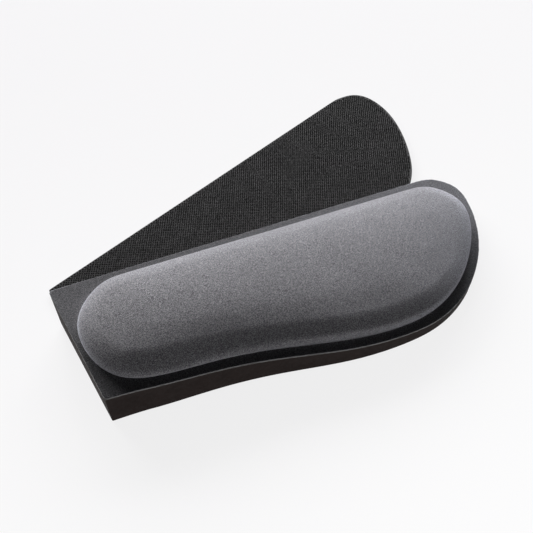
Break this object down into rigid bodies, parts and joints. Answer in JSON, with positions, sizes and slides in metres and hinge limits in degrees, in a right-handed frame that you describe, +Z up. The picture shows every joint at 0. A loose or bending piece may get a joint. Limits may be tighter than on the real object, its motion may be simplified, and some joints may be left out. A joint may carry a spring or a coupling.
{
  "type": "wrist rest",
  "caption": "Padded wrist rest: a fabric-covered cushion bonded to a tapered base, with a thin grip plate that swivels out from under it.",
  "frame": {"origin": "bottom centre of the bounding box with the plate swung out, on the desk", "axes": "+X along the cushion's straight far edge towards its rounded end, +Y away from the user towards the keyboard, +Z up"},
  "size_m": [0.2218, 0.1702, 0.0365],
  "materials": {
    "moulded_base": "matte",
    "grip_rubber": "matte",
    "glide_film": "satin",
    "bonding_film": "satin",
    "cushion_foam": "matte",
    "jersey": "matte",
    "brass_insert": "satin",
    "pivot_steel": "brushed",
    "plate_board": "matte",
    "woven_grip": "fine diamond texture"
  },
  "bodies": {
    "cushion_body": {"wedge_base": "moulded_base", "front_sole_strip": "grip_rubber", "pocket_glide_lining": "glide_film", "bonding_film": "bonding_film", "foam_core": "cushion_foam", "fabric_cover": "jersey", "pivot_insert": "brass_insert", "pivot_pin": "pivot_steel"},
    "anchor_plate": {"plate_bottom_grip": "grip_rubber", "plate_board": "plate_board", "plate_top_grip": "woven_grip", "pivot_eyelet": "pivot_steel"}
  },
  "joints": [
    {"name": "plate_swing", "type": "hinge", "parent": "cushion_body", "child": "anchor_plate", "pos_m": [-0.09259, -0.01968, 0.0015], "axis": [0, 0, 1], "range_deg": [-19.4, 0]}
  ]
}
